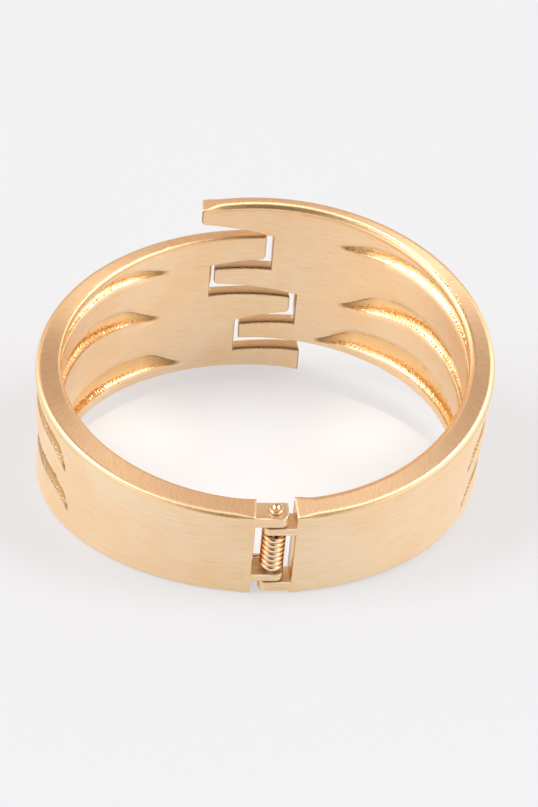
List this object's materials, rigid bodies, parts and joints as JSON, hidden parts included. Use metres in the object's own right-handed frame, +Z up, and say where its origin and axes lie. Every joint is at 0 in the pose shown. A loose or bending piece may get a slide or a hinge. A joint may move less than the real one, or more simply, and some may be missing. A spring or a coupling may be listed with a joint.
{
  "type": "hinged cuff bracelet",
  "caption": "Hinged metal cuff bracelet that opens on a sprung pin at the back and closes with interlocking tapered fingers at the front.",
  "frame": {"origin": "on the floor, under the middle of the bracelet's box as it lies on the left half's lower rim", "axes": "+Z up, +Y from the hinge to the fingers, +X from the left half to the right half"},
  "size_m": [0.066, 0.06, 0.0335],
  "materials": {
    "satin_gold": "brushed satin, pale rose gold plate",
    "polished_gold": "polished gold plate"
  },
  "bodies": {
    "left": {"left_cuff_half": "satin_gold", "hinge_pin": "polished_gold", "hinge_spring": "polished_gold"},
    "right": {"right_cuff_half": "satin_gold"}
  },
  "joints": [
    {"name": "hinge", "type": "hinge", "parent": "left", "child": "right", "pos_m": [0, -0.02714, 0.00804], "axis": [0, 0.1593, -0.9872], "range_deg": [0, 45], "stiffness_Nm_per_rad": 0.07, "springref_deg": -22.92, "deforming": ["hinge_spring"]}
  ]
}
